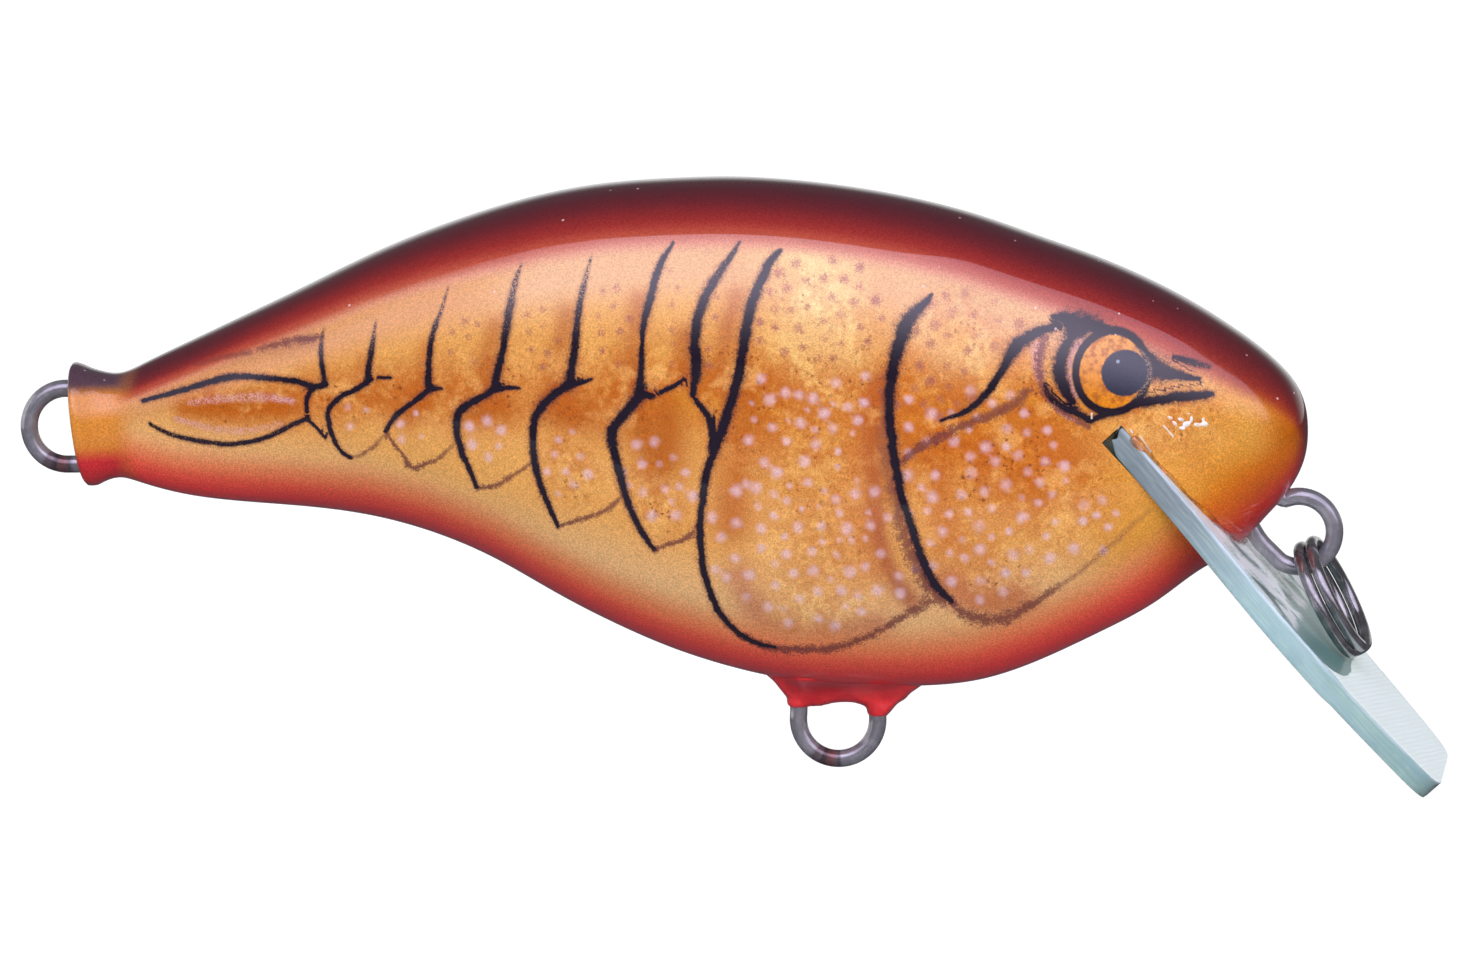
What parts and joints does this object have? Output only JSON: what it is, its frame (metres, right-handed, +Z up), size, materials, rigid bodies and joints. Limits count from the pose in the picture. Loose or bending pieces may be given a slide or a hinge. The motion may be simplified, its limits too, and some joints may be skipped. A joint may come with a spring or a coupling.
{
  "type": "crankbait lure",
  "caption": "Flat-sided wooden crankbait on a through-wire, with a square glass-board bill in a slot and a split ring on its line tie; no hooks fitted.",
  "frame": {"origin": "centre of the whole lure's bounding box, wire eyes and bill included", "axes": "+X along the body towards the nose, +Y to the lure's left flank, +Z up through the back"},
  "size_m": [0.0692, 0.0164, 0.0294],
  "materials": {
    "lacquer": "crayfish print under a gloss clear coat",
    "lacquer_red": "gloss lacquer",
    "balsa": "raw sanded balsa",
    "lead": "dull grey lead",
    "wood_filler": "sanded filler",
    "stainless_wire": "drawn wire, clear coated",
    "glass_board": "translucent blue-green woven glass board",
    "clear_epoxy": "clear cured epoxy",
    "ring_steel": "dark polished steel"
  },
  "bodies": {
    "lure": {"lacquer_shell": "lacquer", "tail_collar": "lacquer_red", "belly_seal": "lacquer_red", "body_core_left": "balsa", "body_core_right": "balsa", "belly_ballast": "lead", "ballast_filler": "wood_filler", "through_wire": "stainless_wire", "lip": "glass_board", "lip_epoxy": "clear_epoxy"},
    "ring": {"split_ring": "ring_steel"}
  },
  "joints": [
    {"name": "split_ring_swing", "type": "hinge", "parent": "lure", "child": "ring", "pos_m": [0.02764, 0, -0.00249], "axis": [0, -1, 0], "range_deg": [-1, 140]}
  ]
}
